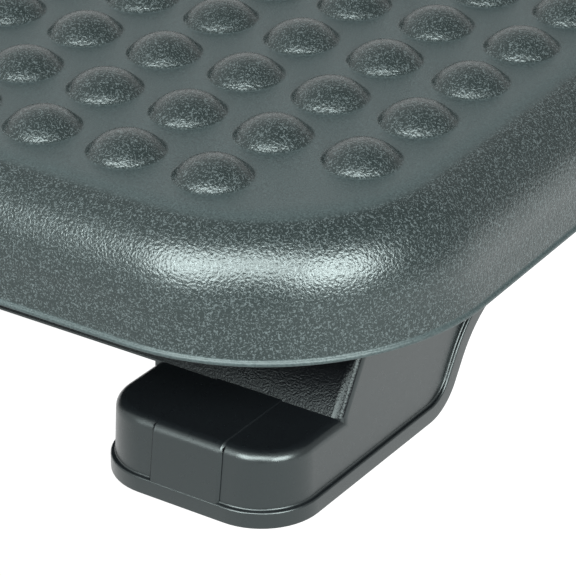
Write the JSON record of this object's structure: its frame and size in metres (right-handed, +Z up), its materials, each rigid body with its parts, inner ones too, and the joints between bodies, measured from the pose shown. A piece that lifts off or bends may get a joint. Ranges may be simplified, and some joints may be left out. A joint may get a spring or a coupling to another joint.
{
  "type": "tilting under desk footrest",
  "caption": "Under desk footrest: a domed foot platform that tilts front to back on a four-footed base.",
  "frame": {"origin": "on the floor, below the middle of the tilt axle and of the footrest", "axes": "+X to the sitter's right, along the long side; +Y away from the sitter, to the rear; +Z up"},
  "size_m": [0.4484, 0.3333, 0.1003],
  "materials": {
    "platform_plastic": "leather grained charcoal plastic, smooth fine texture between the domes",
    "base_plastic": "black satin plastic",
    "fitting_plastic": "black glass filled plastic",
    "bush_plastic": "natural acetal",
    "rubber": "matt black",
    "steel": "bright zinc plated"
  },
  "bodies": {
    "base": {"base_shell": "base_plastic", "foot_pad_front_left": "rubber", "foot_pad_rear_left": "rubber", "foot_pad_front_right": "rubber", "foot_pad_rear_right": "rubber", "axle_cradle_left": "fitting_plastic", "axle_cradle_right": "fitting_plastic", "cradle_cap_left": "fitting_plastic", "cradle_cap_right": "fitting_plastic", "axle_bush_left": "bush_plastic", "axle_bush_right": "bush_plastic", "cradle_screw_front_left": "steel", "cradle_screw_rear_left": "steel", "cradle_screw_front_right": "steel", "cradle_screw_rear_right": "steel"},
    "platform": {"platform_shell": "platform_plastic", "tilt_axle": "steel", "axle_bracket_left": "fitting_plastic", "axle_bracket_right": "fitting_plastic", "axle_clip_left": "steel", "axle_clip_right": "steel", "bracket_screw_front_left": "steel", "bracket_screw_rear_left": "steel", "bracket_screw_front_right": "steel", "bracket_screw_rear_right": "steel", "tilt_bumper_front_left": "rubber", "tilt_bumper_rear_left": "rubber", "tilt_bumper_front_right": "rubber", "tilt_bumper_rear_right": "rubber"}
  },
  "joints": [
    {"name": "platform_tilt", "type": "hinge", "parent": "base", "child": "platform", "pos_m": [0, 0, 0.066], "axis": [1, 0, 0], "range_deg": [-11, 7]}
  ]
}
